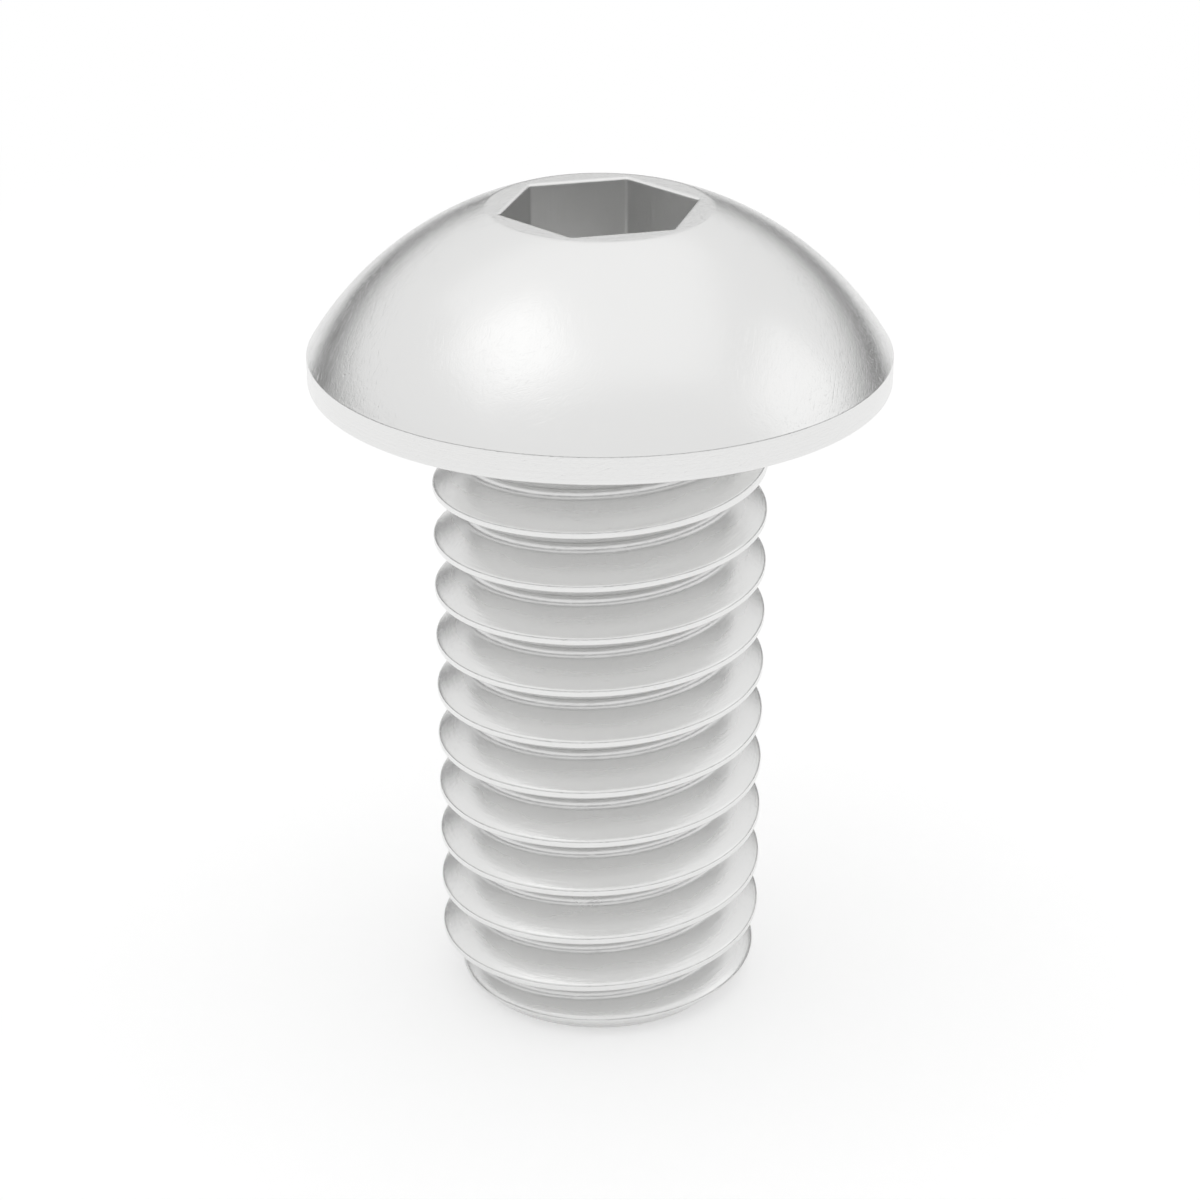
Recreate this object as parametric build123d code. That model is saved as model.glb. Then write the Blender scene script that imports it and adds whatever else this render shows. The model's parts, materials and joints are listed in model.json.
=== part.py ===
"""Button head screw with a hexagon socket, M6 x 12, in one piece.

Millimetres, +Z along the axis towards the head. The origin is the centre of the flat
bearing face under the head, so the head stands above z = 0 and the shank hangs below it.
The shank is plain, at the outside diameter of its thread.
"""

import os
from math import cos, hypot, pi, radians, tan

from build123d import *

# Shank
thread_diameter = 6.0
length = 12.0  # bearing face to end face
end_chamfer = 0.55  # at 45 degrees, down to about the root of the thread
neck_fillet = 0.25  # where the shank meets the bearing face

# Head
head_diameter = 10.25
head_height = 3.05
rim_height = 0.5  # straight band under the dome
rim_round = 0.06  # both corners of the band
land_diameter = 3.95  # flat on top, around the mouth of the socket

# Hexagon socket, upset by a punch with a conical point
key_size = 3.0  # across the flats of the key
key_clearance = 0.04
socket_depth = 2.1  # top of the head to the lower ends of the socket's corners
point_angle = 120.0

# Radii and heights that follow from them
shank_radius = thread_diameter / 2
head_radius = head_diameter / 2
land_radius = land_diameter / 2
across_flats = key_size + key_clearance
corner_radius = across_flats / 2 / cos(pi / 6)


def dome_radius():
    """Radius of the sphere, centred on the axis, through the edges of the rim and the land."""
    drop = head_height - rim_height
    centre = (head_radius**2 - land_radius**2 - drop**2) / (2 * drop)  # below the rim's top edge
    return hypot(head_radius, centre)


def outer_body():
    """Shank and head, as one profile turned about the axis."""
    with BuildPart() as body:
        with BuildSketch(Plane.XZ) as profile:
            with BuildLine():
                Polyline(
                    (0, head_height),
                    (0, -length),
                    (shank_radius - end_chamfer, -length),
                    (shank_radius, end_chamfer - length),
                    (shank_radius, 0),
                    (head_radius, 0),
                    (head_radius, rim_height),
                )
                RadiusArc((head_radius, rim_height), (land_radius, head_height), -dome_radius())
                Line((land_radius, head_height), (0, head_height))
            make_face()
            neck = profile.vertices().sort_by_distance((shank_radius, 0))[0]
            fillet(neck, neck_fillet)
            fillet(profile.vertices().group_by(Axis.X)[-1], rim_round)
        revolve(axis=Axis.Z)
    return body.part


def socket_punch():
    """The socket's inside: a hexagon with a corner on +X, ended by a cone."""
    slope = tan(radians(90 - point_angle / 2))
    full_depth = socket_depth + corner_radius * slope
    skirt = 2 * corner_radius  # the cone runs on past the corners, so that it cuts them all
    with BuildPart() as punch:
        with BuildSketch(Plane.XY.offset(head_height)):
            RegularPolygon(radius=across_flats / 2, side_count=6, major_radius=False)
        extrude(amount=-full_depth)
        with BuildSketch(Plane.XZ):
            with BuildLine():
                Polyline(
                    (0, head_height - full_depth),
                    (skirt, head_height - full_depth + skirt * slope),
                    (skirt, head_height),
                    (0, head_height),
                    close=True,
                )
            make_face()
        revolve(axis=Axis.Z, mode=Mode.INTERSECT)
    return punch.part


screw = outer_body() - socket_punch()
screw.label = "screw"

os.makedirs("parts", exist_ok=True)
export_step(screw, "parts/screw.step")
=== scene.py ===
import json
import math

import bpy
import numpy as np
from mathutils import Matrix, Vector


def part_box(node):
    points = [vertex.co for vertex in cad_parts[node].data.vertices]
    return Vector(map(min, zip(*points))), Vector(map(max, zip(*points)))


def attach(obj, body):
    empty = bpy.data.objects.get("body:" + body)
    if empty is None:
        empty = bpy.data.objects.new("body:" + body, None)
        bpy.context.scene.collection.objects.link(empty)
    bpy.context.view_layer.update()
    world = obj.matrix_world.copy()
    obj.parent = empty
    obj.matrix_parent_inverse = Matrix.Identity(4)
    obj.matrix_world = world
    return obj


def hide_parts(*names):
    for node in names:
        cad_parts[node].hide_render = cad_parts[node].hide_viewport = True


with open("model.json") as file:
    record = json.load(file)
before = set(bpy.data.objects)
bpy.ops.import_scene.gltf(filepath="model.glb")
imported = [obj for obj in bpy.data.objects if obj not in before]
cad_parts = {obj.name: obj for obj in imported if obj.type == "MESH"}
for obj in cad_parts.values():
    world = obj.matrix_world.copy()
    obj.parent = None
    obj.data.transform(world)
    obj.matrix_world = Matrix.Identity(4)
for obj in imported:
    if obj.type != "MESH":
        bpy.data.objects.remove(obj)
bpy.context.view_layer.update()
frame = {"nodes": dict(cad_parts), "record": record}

millimetre = 0.001
print("frame loaded:", sorted(frame["nodes"]))

nodeLow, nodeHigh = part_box("screw")
mounts = {mount["name"]: mount for mount in frame["record"]["mounts"]}

screwShape = {  # in millimetres, as in the two dictionaries below
    "headRadius": nodeHigh[0] / millimetre,
    "headHeight": nodeHigh[2] / millimetre,
    "length": -nodeLow[2] / millimetre,  # bearing face to end face
    "shankRadius": mounts["shank"]["dims"]["r_mm"],
    "rimHeight": 0.5,
    "rimRound": 0.06,
    "landRadius": 1.975,  # flat ring around the socket
    "landRound": 0.18,
    "neckFillet": 0.25,
    "endChamfer": 0.55,
    "endRound": 0.06,  # edge of the end face
    "domeRings": 30,
    "columns": 168,  # round the axis, a multiple of six so that each corner of the socket has one
}

threadShape = {
    "pitch": 1.0,  # a metric groove's form follows from it
    "neck": 0.45,  # plain shank under the head, fillet included
    "runOut": 0.85,  # height over which the groove rises out of the metal
    "runOutLift": 1.3,  # how far it rises, in depths of the groove
    "narrowest": 0.02,  # half the groove's width where it has run out
    "softEdge": 0.03,  # rounding of the crest's edges
    "softEnd": 0.12,  # and of the edge where the end's cone cuts the thread
    "rootRings": 5,  # in half a groove, as the two below
    "flankRings": 6,
    "edgeRings": 6,
    "edgeBand": 0.0375,  # in pitches, how far these reach to each side of the crest's edge
}

socketShape = {
    "apothem": 1.52,  # axis to wall
    "depth": 2.1,  # at the corners
    "pointAngle": 120.0,  # degrees
    "cornerRound": 0.07,
    "mouthRound": 0.05,
    "floorRound": 0.05,
    "cornerShare": 0.22,  # share of the columns that turn round the corners
}

cos30 = math.cos(math.pi / 6)
flankSlope = math.tan(math.pi / 3)
sharpDepth = threadShape["pitch"] * cos30 * 7 / 8  # of a metric groove, were its root sharp
rootRound = threadShape["pitch"] * cos30 / 6
socketCorner = socketShape["apothem"] / cos30
socketSlope = math.tan(math.radians(90 - socketShape["pointAngle"] / 2))
socketTip = screwShape["headHeight"] - socketShape["depth"] - socketCorner * socketSlope


def unit(vectors):
    # each vector over its own length
    return vectors / np.linalg.norm(vectors, axis=-1, keepdims=True)


def softMinimum(a, b, softness):
    # the smaller of two values, with the corner between them rounded into a hyperbola: half of their sum less
    # the root of the squared difference plus the squared softness
    return (a + b - np.sqrt((a - b) ** 2 + softness**2)) / 2


def columnAngles():
    # evenly spaced round the axis, the last one back at the first
    return np.linspace(0, 2 * math.pi, screwShape["columns"] + 1)


def circleRing(radius, height):
    # radius times the cosine and sine of the angle, from +X round, with one radius and height for the whole
    # ring or one for each column
    angle = columnAngles()
    radius, height = np.broadcast_to(radius, angle.shape), np.broadcast_to(height, angle.shape)
    return np.stack([radius * np.cos(angle), radius * np.sin(angle), height], -1)


def hexagonRing(apothem, height):
    # a hexagon with a rounded corner on +X: near a corner the columns turn up to 30 degrees round its arc,
    # and past the arc they step evenly along the flat, by minus a half in x and the cosine of 30 degrees in y
    share = socketShape["cornerShare"] / 2
    step = columnAngles() / (math.pi / 3)
    corner = np.round(step)
    t = step - corner  # from -0.5 to 0.5 across one corner
    arcCentre = (apothem - socketShape["cornerRound"]) / cos30
    turn = np.clip(t / share, -1, 1) * math.pi / 6
    along = np.sign(t) * np.clip((np.abs(t) - share) / (0.5 - share), 0, 1) * arcCentre / 2
    x = arcCentre + socketShape["cornerRound"] * np.cos(turn) - np.abs(along) * 0.5
    y = socketShape["cornerRound"] * np.sin(turn) + along * cos30
    facing = corner * math.pi / 3
    x, y = x * np.cos(facing) - y * np.sin(facing), x * np.sin(facing) + y * np.cos(facing)
    return np.stack([x, y, np.broadcast_to(height, x.shape)], -1)


def roundedSection(corners, steps=6, support=0.04):
    # carries each column along its corner points. A corner with a radius becomes a circular arc, a rational
    # quadratic curve whose middle weight is the sine of half the corner's angle, with one more ring on each
    # side that keeps the shading beside it flat
    rings = [corners[0][0]]
    for (before, _), (corner, radius), (after, _) in zip(corners, corners[1:], corners[2:]):
        if not radius:
            rings.append(corner)
            continue
        back, ahead = unit(before - corner), unit(after - corner)
        half = np.arccos(np.clip((back * ahead).sum(-1, keepdims=True), -1, 1)) / 2
        reach, weight = radius / np.tan(half), np.sin(half)
        rings.append(corner + back * (reach + support))
        for t in np.linspace(0, 1, steps + 1):
            parts = (1 - t) ** 2, 2 * weight * t * (1 - t), t**2
            points = corner + back * reach, corner, corner + ahead * reach
            rings.append(sum(p * q for p, q in zip(parts, points)) / sum(parts))
        rings.append(corner + ahead * (reach + support))
    return rings + [corners[-1][0]]


def grooveRise(grooveHeight):
    # how far the groove has climbed out of the metal: 0 below the run-out, growing as the power 1.5 of the
    # height in it, and past the groove's depth at the neck
    share = np.clip((grooveHeight + threadShape["neck"]) / threadShape["runOut"] + 1, 0, 1)
    return threadShape["runOutLift"] * sharpDepth * share**1.5


def grooveHalfWidth(rise):
    # half the groove's width at the outside of the shank: the depth that the rise leaves, divided by the
    # slope of the flanks
    return np.maximum((sharpDepth - rise) / flankSlope, threadShape["narrowest"])


def grooveRadius(height, grooveHeight):
    # one groove of a metric thread: a circle at the root, then flanks that rise by the tangent of 60 degrees
    across = np.abs(height - grooveHeight)
    root = 2 * rootRound - np.sqrt(np.maximum(rootRound**2 - across**2, 0))
    above = np.where(across < rootRound * cos30, root, across * flankSlope)
    return screwShape["shankRadius"] - sharpDepth + above + grooveRise(grooveHeight)


def threadRadius(height, climb):
    # the deeper of the grooves below and above a point, cut off at the outside radius and by the end's cone,
    # with the meeting edges rounded
    pitch, outside = threadShape["pitch"], screwShape["shankRadius"]
    first = climb - screwShape["length"]
    below = first + pitch * np.floor((height - first) / pitch)
    groove = np.minimum(grooveRadius(height, below), grooveRadius(height, below + pitch))
    cone = outside - screwShape["endChamfer"] + height + screwShape["length"]
    return softMinimum(softMinimum(groove, outside, threadShape["softEdge"]), cone, threadShape["softEnd"])


def ringPlaces():
    # places of the rings across one groove, from crest to crest, in pitches from its middle: close together
    # in the root and in the band round the crest's edge, and wider apart on the flank
    flankFoot, crestEdge, band = 1 / 8, 7 / 16, threadShape["edgeBand"]
    root = np.linspace(0, flankFoot, threadShape["rootRings"], endpoint=False)
    flank = np.linspace(flankFoot, crestEdge - band, threadShape["flankRings"], endpoint=False)
    edge = np.linspace(crestEdge - band, crestEdge + band, threadShape["edgeRings"])
    half = np.concatenate([root, flank, edge])
    return np.concatenate([[-0.5], -half[:0:-1], half])


def threadRings():
    # each ring climbs one pitch in one turn and is held between the end's edge and the plain neck. It keeps
    # its own share of the groove, or of the crest beside it, so the rings close up as the groove narrows
    pitch = threadShape["pitch"]
    low, high = screwShape["endRound"] - screwShape["length"], -threadShape["neck"]
    turns = math.ceil((high - low) / pitch) + 2
    turn, place = np.meshgrid(range(turns), ringPlaces() * pitch, indexing="ij")
    turn, place = turn.reshape(-1, 1), place.reshape(-1, 1)
    climb = pitch * columnAngles() / (2 * math.pi)
    grooveHeight = climb - screwShape["length"] + pitch * (turn - 1)
    widest, width = grooveHalfWidth(0), grooveHalfWidth(grooveRise(grooveHeight))
    inside = np.abs(place) * width / widest
    outside = pitch / 2 - (pitch / 2 - np.abs(place)) * (pitch / 2 - width) / (pitch / 2 - widest)
    across = np.where(np.abs(place) < widest, inside, outside) * np.sign(place)
    height = np.clip(grooveHeight + across, low, high)
    return [circleRing(r, h) for r, h in zip(threadRadius(height, climb), height)]


def endFaceRings(foot):
    # from the axis out along the flat end and round its edge, up to the thread's first ring, which lies one
    # edge radius further out and one higher, at the foot of a cone of 45 degrees
    edge = foot - unit(foot * (1, 1, 0)) * screwShape["endRound"]
    edge[:, 2] = -screwShape["length"]
    middle = edge * (0, 0, 1)
    return roundedSection([(middle, 0), (edge, screwShape["endRound"]), (foot, 0)], support=0.03)[:-1]


def headRings(neckRing):
    # neck fillet, bearing face, rim and dome, which is a sphere centred on the axis and passing through the
    # edges of the rim and the land, then the land, the socket's six walls and its cone
    s, k = screwShape, socketShape
    drop = s["headHeight"] - s["rimHeight"]
    centre = s["rimHeight"] - (s["headRadius"] ** 2 - s["landRadius"] ** 2 - drop**2) / (2 * drop)
    domeRadius = math.hypot(s["headRadius"], s["rimHeight"] - centre)
    lowTilt, highTilt = math.asin(s["headRadius"] / domeRadius), math.asin(s["landRadius"] / domeRadius)
    tilts = np.linspace(lowTilt, highTilt, s["domeRings"] + 1)[1:-1]
    dome = [(circleRing(domeRadius * math.sin(tilt), centre + domeRadius * math.cos(tilt)), 0)
            for tilt in tilts]
    wallFoot = hexagonRing(k["apothem"], 0.0)
    wallFoot[:, 2] = socketTip + np.hypot(wallFoot[:, 0], wallFoot[:, 1]) * socketSlope
    return roundedSection([
        (neckRing, 0),
        (circleRing(s["shankRadius"], 0.0), s["neckFillet"]),
        (circleRing(s["headRadius"], 0.0), s["rimRound"]),
        (circleRing(s["headRadius"], s["rimHeight"]), s["rimRound"]),
        *dome,
        (circleRing(s["landRadius"], s["headHeight"]), s["landRound"]),
        (hexagonRing(k["apothem"], s["headHeight"]), k["mouthRound"]),
        (wallFoot, k["floorRound"]),
        (circleRing(0.0, socketTip), 0),
    ])[1:]


def meshFromRings(name, rings):
    # joins ring to ring and column to column in triangles, merges the points that coincide at the seam, at
    # the poles and where rings are held at an end, and leaves out the triangles that this empties
    grid = np.array(rings)
    points, merged = np.unique(np.round(grid.reshape(-1, 3), 5), axis=0, return_inverse=True)
    index = merged.reshape(grid.shape[:2])
    a, b, c, d = index[:-1, :-1], index[:-1, 1:], index[1:, 1:], index[1:, :-1]
    corners = np.stack([[a, b, c], [a, c, d]]).swapaxes(0, 1).reshape(3, -1).T
    i, j, k = corners.T
    corners = corners[(i != j) & (j != k) & (k != i)]
    mesh = bpy.data.meshes.new(name)
    mesh.vertices.add(len(points))
    mesh.vertices.foreach_set("co", (points * millimetre).ravel())
    mesh.loops.add(corners.size)
    mesh.loops.foreach_set("vertex_index", corners.ravel().astype(np.int32))
    mesh.polygons.add(len(corners))
    mesh.polygons.foreach_set("loop_start", np.arange(0, corners.size, 3, dtype=np.int32))
    mesh.polygons.foreach_set("use_smooth", np.ones(len(corners), dtype=bool))
    mesh.update(calc_edges=True)
    mesh.validate()
    piece = bpy.data.objects.new(name, mesh)
    bpy.context.scene.collection.objects.link(piece)
    print(name, len(points), "points", len(corners), "triangles")
    return piece


thread = threadRings()
screw = meshFromRings("threadedScrew", [*endFaceRings(thread[0]), *thread, *headRings(thread[-1])])


class Wire:
    # one output of a node: + - * on wires and numbers add Math nodes

    def __init__(self, nodes, socket):
        self.nodes = nodes
        self.socket = socket

    def __add__(self, other):
        return self.nodes.maths("ADD", self, other)

    def __sub__(self, other):
        return self.nodes.maths("SUBTRACT", self, other)

    def __rsub__(self, other):
        return self.nodes.maths("SUBTRACT", other, self)

    def __mul__(self, other):
        return self.nodes.maths("MULTIPLY", self, other)

    __radd__ = __add__
    __rmul__ = __mul__


class Nodes:
    # the nodes of a material or of the world

    def __init__(self, owner):
        owner.use_nodes = True
        self.tree = owner.node_tree
        self.tree.nodes.clear()

    def add(self, kind, settings=None, inputs=None, output=0):
        # adds a node, sets its settings, then fills its sockets with numbers, colours or wires
        made = self.tree.nodes.new(kind)
        for name, value in (settings or {}).items():
            setattr(made, name, value)
        for name, value in (inputs or {}).items():
            if isinstance(value, Wire):
                self.tree.links.new(value.socket, made.inputs[name])
            else:
                made.inputs[name].default_value = value
        return Wire(self, made.outputs[output]) if made.outputs else None

    def maths(self, operation, *values):
        return self.add("ShaderNodeMath", {"operation": operation}, dict(enumerate(values)))

    def ramp(self, value, low, high):
        # 0 below low and 1 above high, smooth between
        return self.add("ShaderNodeMapRange", {"interpolation_type": "SMOOTHSTEP"},
                        {"Value": value, "From Min": low, "From Max": high})

    def noise(self, place, scale, detail=2.0, roughness=0.5):
        return self.add("ShaderNodeTexNoise", {}, {"Vector": place, "Scale": scale, "Detail": detail,
                                                   "Roughness": roughness}, "Fac")

    def vector(self, x, y, z):
        return self.add("ShaderNodeCombineXYZ", {}, {0: x, 1: y, 2: z})


steelFinish = {
    "colour": (0.80, 0.80, 0.795, 1),
    # painted shade: a darker colour mixed into the thread's grooves, standing in for the shade deep in them
    "grooveColour": (0.58, 0.58, 0.575, 1),
    "grooveShade": 0.3,  # share of the painted groove shade at the groove's root, fading out towards the crest
    "roughness": 0.24,
    "roughnessChange": 0.08,  # between clouds
    "cloudScale": 0.8,  # clouds to the millimetre
    "socketRoughness": 0.13,  # added where the tumbling hardly reaches in
    "grooveRoughness": 0.05,
    "zoneBlend": 0.06,  # millimetres over which one zone's marks fade into the next one's
    # marks: how many to the millimetre across and along them, and how deep in millimetres
    "grain": (9.0, 9.0, 0.0025),
    "fineGrain": (24.0, 24.0, 0.0012),
    "waves": (1.1, 1.1, 0.004),
    "hairlines": (30.0, 1.4, 0.0012),
    "rollMarks": (22.0, 0.7, 0.003),
    "turningMarks": (26.0, 0.5, 0.0018),
    "punchMarks": (14.0, 0.5, 0.0045),
    "hairlineTurns": ((0.3, 0.2, 0.4), (0.9, -0.5, 1.5), (-0.6, 0.8, 2.4), (0.2, 1.1, -0.7)),
    "hairlineSpan": (0.6, 0.8),  # noise values between which a scratch begins and is full
}


def tumbledMarks(nodes, place):
    # grain, soft waves, and fine straight scratches, which are noise drawn out along a few turned axes and
    # kept only where it peaks
    f = steelFinish
    marks = 0.0
    for name, detail, roughness in (("grain", 3.0, 0.6), ("fineGrain", 2.0, 0.5), ("waves", 2.0, 0.5)):
        scale, _, depth = f[name]
        marks = nodes.noise(place, scale, detail, roughness) * depth + marks
    across, along, depth = f["hairlines"]
    for turn in f["hairlineTurns"]:
        turned = nodes.add("ShaderNodeVectorRotate", {"rotation_type": "EULER_XYZ"},
                           {"Vector": place, "Rotation": turn})
        drawn = nodes.add("ShaderNodeVectorMath", {"operation": "MULTIPLY"},
                          {0: turned, 1: (along, across, across)})
        marks = marks - nodes.ramp(nodes.noise(drawn, 1.0, 1.0), *f["hairlineSpan"]) * depth
    return marks


def steelZones(nodes, z, radius):
    # how far a point is in the socket, on the shank, in the thread's groove and on what was turned
    s, blend = screwShape, steelFinish["zoneBlend"]
    top, shank = s["headHeight"], s["shankRadius"]
    mouth = nodes.ramp(z, top - blend, top) + nodes.ramp(radius, socketCorner, socketCorner + blend)
    inSocket = nodes.maths("MAXIMUM", 1 - mouth, 0.0) * nodes.ramp(z, socketTip - blend, socketTip)
    onShank = (1 - nodes.ramp(z, -blend, 0.0)) * (1 - nodes.ramp(radius, shank + blend, shank + 2 * blend))
    onShank = onShank * (1 - inSocket)
    root = shank - sharpDepth + rootRound
    inGroove = onShank * (1 - nodes.ramp(radius, root + blend, shank - blend))
    inGroove = inGroove * nodes.ramp(z, blend / 2 - s["length"], blend - s["length"])
    turned = nodes.maths("MAXIMUM", 1 - nodes.ramp(z, s["rimHeight"], s["rimHeight"] + blend),
                         nodes.ramp(z, top - blend / 2, top))
    return inSocket, onShank, inGroove, turned


def stainlessSteel():
    # satin from tumbling all over, with rings where the head was turned, marks along the thread where it was
    # rolled and down the socket's walls where it was punched
    material = bpy.data.materials.new("satinStainlessSteel")
    nodes, f = Nodes(material), steelFinish
    place = nodes.add("ShaderNodeVectorMath", {"operation": "SCALE"},
                      {0: nodes.add("ShaderNodeTexCoord", output="Object"), "Scale": 1 / millimetre})
    x, y, z = (nodes.add("ShaderNodeSeparateXYZ", {}, {0: place}, axis) for axis in range(3))
    radius = nodes.maths("SQRT", x * x + y * y)
    inSocket, onShank, inGroove, turned = steelZones(nodes, z, radius)
    across, along, depth = f["turningMarks"]
    rings = nodes.noise(nodes.vector(radius * across, z * across, (x + y) * along), 1.0, 3.0) * depth
    across, along, depth = f["rollMarks"]
    rolled = nodes.noise(nodes.vector(radius * across, x * along, y * along), 1.0, 3.0) * depth
    across, along, depth = f["punchMarks"]
    punched = nodes.noise(nodes.vector(x * across, y * across, z * along), 1.0, 3.0) * depth
    tumbled = tumbledMarks(nodes, place)
    height = tumbled * (1 - inSocket) + rings * turned + rolled * onShank + punched * inSocket
    normal = nodes.add("ShaderNodeBump", {}, {"Height": height, "Distance": millimetre, "Strength": 1.0})
    cloud = nodes.noise(place, f["cloudScale"], 4.0)
    roughness = (f["roughness"] + (cloud - 0.5) * f["roughnessChange"] + inSocket * f["socketRoughness"]
                 + inGroove * f["grooveRoughness"])
    # the base colour with painted shade mixed into the thread's grooves, strongest at the root
    colour = nodes.add("ShaderNodeMix", {"data_type": "RGBA"},
                       {0: inGroove * f["grooveShade"], 6: f["colour"], 7: f["grooveColour"]}, 2)
    steel = nodes.add("ShaderNodeBsdfPrincipled", {}, {
        "Base Color": colour, "Metallic": 1.0, "Roughness": roughness, "Normal": normal})
    nodes.add("ShaderNodeOutputMaterial", {}, {"Surface": steel})
    return material


screw.data.materials.append(stainlessSteel())
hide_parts("screw")
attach(screw, "root")
print("material made")

studio = {
    "floorHalf": 3.0,  # metres
    "floorColour": (0.9, 0.9, 0.9, 1),
    "floorLight": 0.83,  # what falls on the open floor, as a share of plain white
    "floorLift": 0.3,  # share of the floor's white that has no shadow in it
    "shadowReach": (0.02, 0.06),  # metres from the axis over which the floor turns plain white
    "worldLight": 0.82,
    "horizonTone": 0.04,
    "skyTone": 0.95,
    "skySpan": (0.0, 0.37),  # sines of the heights between which the horizon's tone turns into the sky's
    "keyPlace": (-0.20, 0.0, 0.39),
    "keySize": 0.24,
    "keyPower": 0.036,
    "fillPlace": (0.36, -0.06, 0.18),
    "fillSize": 0.26,
    "fillPower": 0.04,
    "topPlace": (0.0, 0.05, 0.45),
    "topSize": 0.60,
    "topPower": 0.13,
    "lampAim": (0.0, 0.0, -0.003),
}


def makeFloor():
    half, level = studio["floorHalf"], nodeLow[2]
    mesh = bpy.data.meshes.new("floor")
    corners = [(-half, -half, level), (half, -half, level), (half, half, level), (-half, half, level)]
    mesh.from_pydata(corners, [], [(0, 1, 2, 3)])
    floor = bpy.data.objects.new("floor", mesh)
    bpy.context.scene.collection.objects.link(floor)
    mesh.materials.append(palePaper())


def seenRay(nodes):
    # 1 for what the camera, a reflection or glass looks at
    camera, glossy, through = (nodes.add("ShaderNodeLightPath", output=name)
                               for name in ("Is Camera Ray", "Is Glossy Ray", "Is Transmission Ray"))
    return nodes.maths("MAXIMUM", nodes.maths("MAXIMUM", camera, glossy), through)


def palePaper():
    # a dull white for the light that falls on things, and for what is seen a white that holds the shadow
    # near the screw and is plain further out
    material = bpy.data.materials.new("palePaper")
    nodes, lift = Nodes(material), studio["floorLift"]
    distance = nodes.add("ShaderNodeVectorMath", {"operation": "LENGTH"},
                         {0: nodes.add("ShaderNodeTexCoord", output="Object")}, "Value")
    paper = nodes.add("ShaderNodeBsdfDiffuse", {}, {"Color": studio["floorColour"]})
    shade = (1 - lift) / studio["floorLight"]
    shaded = nodes.add("ShaderNodeBsdfDiffuse", {}, {"Color": (shade, shade, shade, 1)})
    glow = nodes.add("ShaderNodeEmission", {}, {"Color": (1, 1, 1, 1), "Strength": lift})
    white = nodes.add("ShaderNodeEmission", {}, {"Color": (1, 1, 1, 1), "Strength": 1.0})
    lifted = nodes.add("ShaderNodeAddShader", {}, {0: shaded, 1: glow})
    far = nodes.ramp(distance, *studio["shadowReach"])
    seen = nodes.add("ShaderNodeMixShader", {}, {0: far, 1: lifted, 2: white})
    surface = nodes.add("ShaderNodeMixShader", {}, {0: seenRay(nodes), 1: paper, 2: seen})
    nodes.add("ShaderNodeOutputMaterial", {}, {"Surface": surface})
    return material


def makeLamp(name, place, size, power):
    # a lamp shines down its own Z axis, so that is tipped to the aim's slope and turned to its heading
    data = bpy.data.lights.new(name, "AREA")
    data.shape, data.size, data.energy = "SQUARE", size, power
    lamp = bpy.data.objects.new(name, data)
    lamp.location = place
    aim = np.array(studio["lampAim"]) - np.array(place)
    lamp.rotation_euler = (math.acos(aim[2] / np.linalg.norm(aim)) - math.pi, 0,
                           math.atan2(aim[1], aim[0]) + math.pi / 2)
    bpy.context.scene.collection.objects.link(lamp)


def makeWorld():
    # pale surroundings: even light for dull surfaces, white for the camera, and for reflections a white sky
    # that falls to a dark band at the horizon
    world = bpy.data.worlds.new("studioWorld")
    bpy.context.scene.world = world
    nodes = Nodes(world)
    direction = nodes.add("ShaderNodeTexCoord", output="Generated")
    up = nodes.add("ShaderNodeSeparateXYZ", {}, {0: direction}, 2)
    isCamera = nodes.add("ShaderNodeLightPath", output="Is Camera Ray")
    isGlossy = nodes.add("ShaderNodeLightPath", output="Is Glossy Ray")
    rise = studio["skyTone"] - studio["horizonTone"]
    tone = studio["horizonTone"] + nodes.ramp(up, *studio["skySpan"]) * rise
    level = isCamera + (1 - isCamera) * (isGlossy * tone + (1 - isGlossy) * studio["worldLight"])
    background = nodes.add("ShaderNodeBackground", {}, {"Color": (1, 1, 1, 1), "Strength": level})
    nodes.add("ShaderNodeOutputWorld", {}, {"Surface": background})


cameraView = {
    "azimuth": -14.4,  # degrees, 0 looks along +Y
    "elevation": 24.98,
    "distance": 0.0540,  # metres, from the point on the axis at aimHeight
    "aimHeight": -0.00439,
    "lens": 89.07,  # millimetres, on a sensor 36 wide
}


def makeCamera():
    data = bpy.data.cameras.new("camera")
    data.sensor_width, data.lens = 36.0, cameraView["lens"]
    data.clip_start, data.clip_end = 0.001, 20.0
    camera = bpy.data.objects.new("camera", data)
    turn, rise = math.radians(cameraView["azimuth"]), math.radians(cameraView["elevation"])
    away = np.array([math.sin(turn) * math.cos(rise), -math.cos(turn) * math.cos(rise), math.sin(rise)])
    camera.location = np.array([0, 0, cameraView["aimHeight"]]) + away * cameraView["distance"]
    camera.rotation_euler = (math.pi / 2 - rise, 0, turn)
    bpy.context.scene.collection.objects.link(camera)
    bpy.context.scene.camera = camera


makeFloor()
for part in ("key", "fill", "top"):
    makeLamp(part + "Lamp", studio[part + "Place"], studio[part + "Size"], studio[part + "Power"])
makeWorld()
makeCamera()
bpy.context.scene.view_settings.view_transform = "Standard"
print("studio made")
